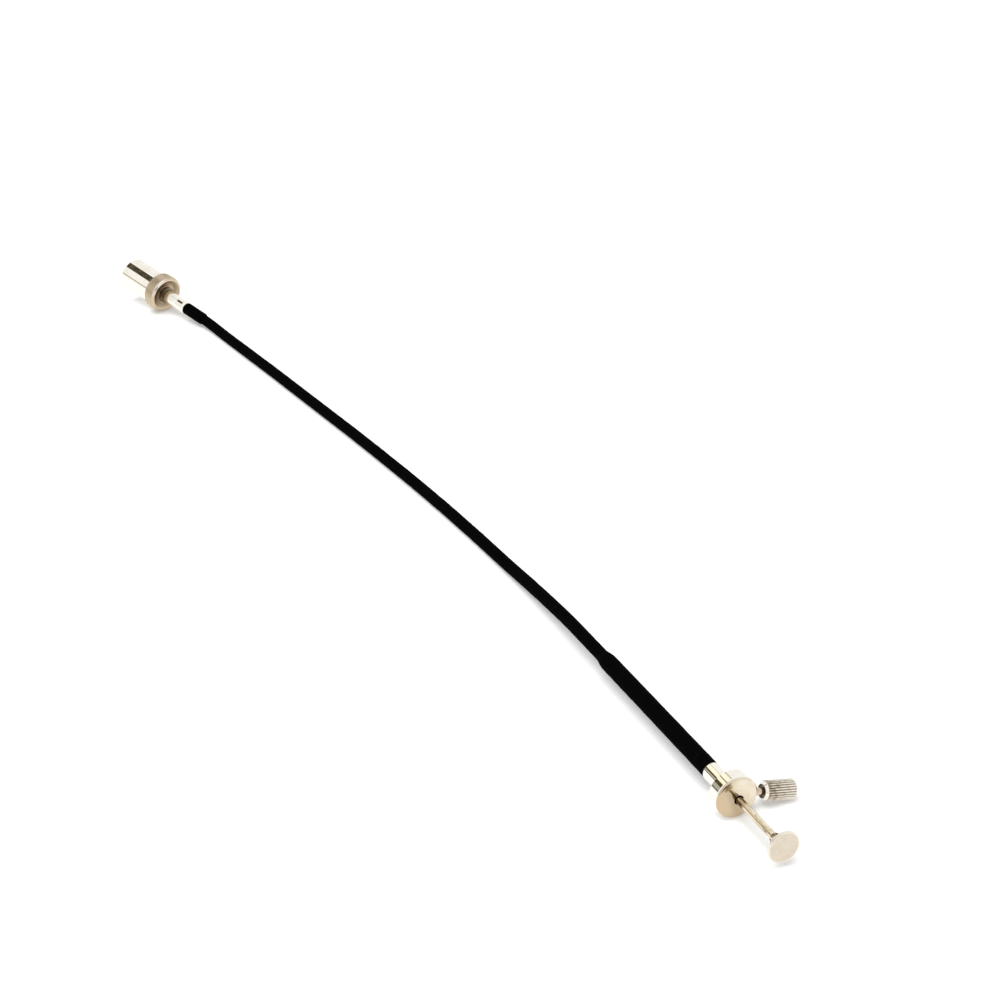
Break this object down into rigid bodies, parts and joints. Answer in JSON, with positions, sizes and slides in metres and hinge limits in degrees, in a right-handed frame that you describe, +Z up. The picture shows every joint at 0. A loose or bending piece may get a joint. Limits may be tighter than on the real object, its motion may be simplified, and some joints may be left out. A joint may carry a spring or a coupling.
{
  "type": "cable shutter release",
  "caption": "Cloth-covered cable release with a thumb plunger, finger plate and lock screw at one end and a screw-over bell with a sliding release pin at the other.",
  "frame": {"origin": "on the surface that the release lies on, under the middle of the release without its free cable", "axes": "+X along the trigger towards its thumb button, +Y to the side of the lock screw, +Z up"},
  "size_m": [0.4331, 0.0655, 0.0166],
  "materials": {
    "polished_nickel": "polished nickel plate, warmed by age",
    "satin_nickel": "satin nickel plate with turning marks",
    "worn_nickel": "plate rubbed through to brown",
    "brass": "turned brass",
    "dark_metal": "blackened",
    "steel": "bright steel",
    "spring_steel": "drawn spring wire",
    "black_cloth": "close woven black cotton"
  },
  "bodies": {
    "root": {"finger_plate": "polished_nickel", "rod_bush": "dark_metal", "barrel_ferrule": "polished_nickel", "guide_tube": "brass", "barrel_cloth": "black_cloth", "end_plug": "brass", "return_spring": "spring_steel", "cable_cloth": "black_cloth", "conduit": "spring_steel", "core_wire": "spring_steel", "tip_cloth": "black_cloth", "tip_tube": "brass", "neck_stem": "polished_nickel", "pin_guide": "brass", "keeper_ring": "satin_nickel"},
    "plunger": {"thumb_button": "satin_nickel", "button_collar": "polished_nickel", "plunger_rod": "worn_nickel", "plunger_head": "brass"},
    "release_pin": {"release_pin": "steel", "wire_crimp": "brass"},
    "bell": {"bell_cup": "polished_nickel", "grip_ring": "satin_nickel"},
    "lock_shank": {"lock_screw": "steel"},
    "lock_grip": {"lock_knob": "polished_nickel"}
  },
  "joints": [
    {"name": "plunger_push", "type": "slide", "parent": "root", "child": "plunger", "axis": [-1, 0, 0], "range_m": [0, 0.015], "stiffness_N_per_m": 150, "springref_m": -0.01, "deforming": ["return_spring", "core_wire"]},
    {"name": "pin_push", "type": "slide", "parent": "root", "child": "release_pin", "axis": [-0.9131, -0.3689, 0.1736], "range_m": [0, 0.015]},
    {"name": "bell_turn", "type": "hinge", "parent": "root", "child": "bell", "pos_m": [-0.1954, -0.01949, 0.00696], "axis": [-0.9131, -0.3689, 0.1736], "continuous": true},
    {"name": "lock_feed", "type": "slide", "parent": "root", "child": "lock_shank", "axis": [0, -0.9815, 0.1917], "range_m": [-0.0015, 0.0005]},
    {"name": "lock_turn", "type": "hinge", "parent": "lock_shank", "child": "lock_grip", "pos_m": [0.191, 0.0144, 0.0061], "axis": [0, -0.9815, 0.1917], "range_deg": [-1080, 360]}
  ],
  "couplings": [
    {"joint": "pin_push", "follows": "plunger_push", "ratio": 1},
    {"joint": "lock_turn", "follows": "lock_feed", "rad_per_m": 12566}
  ]
}
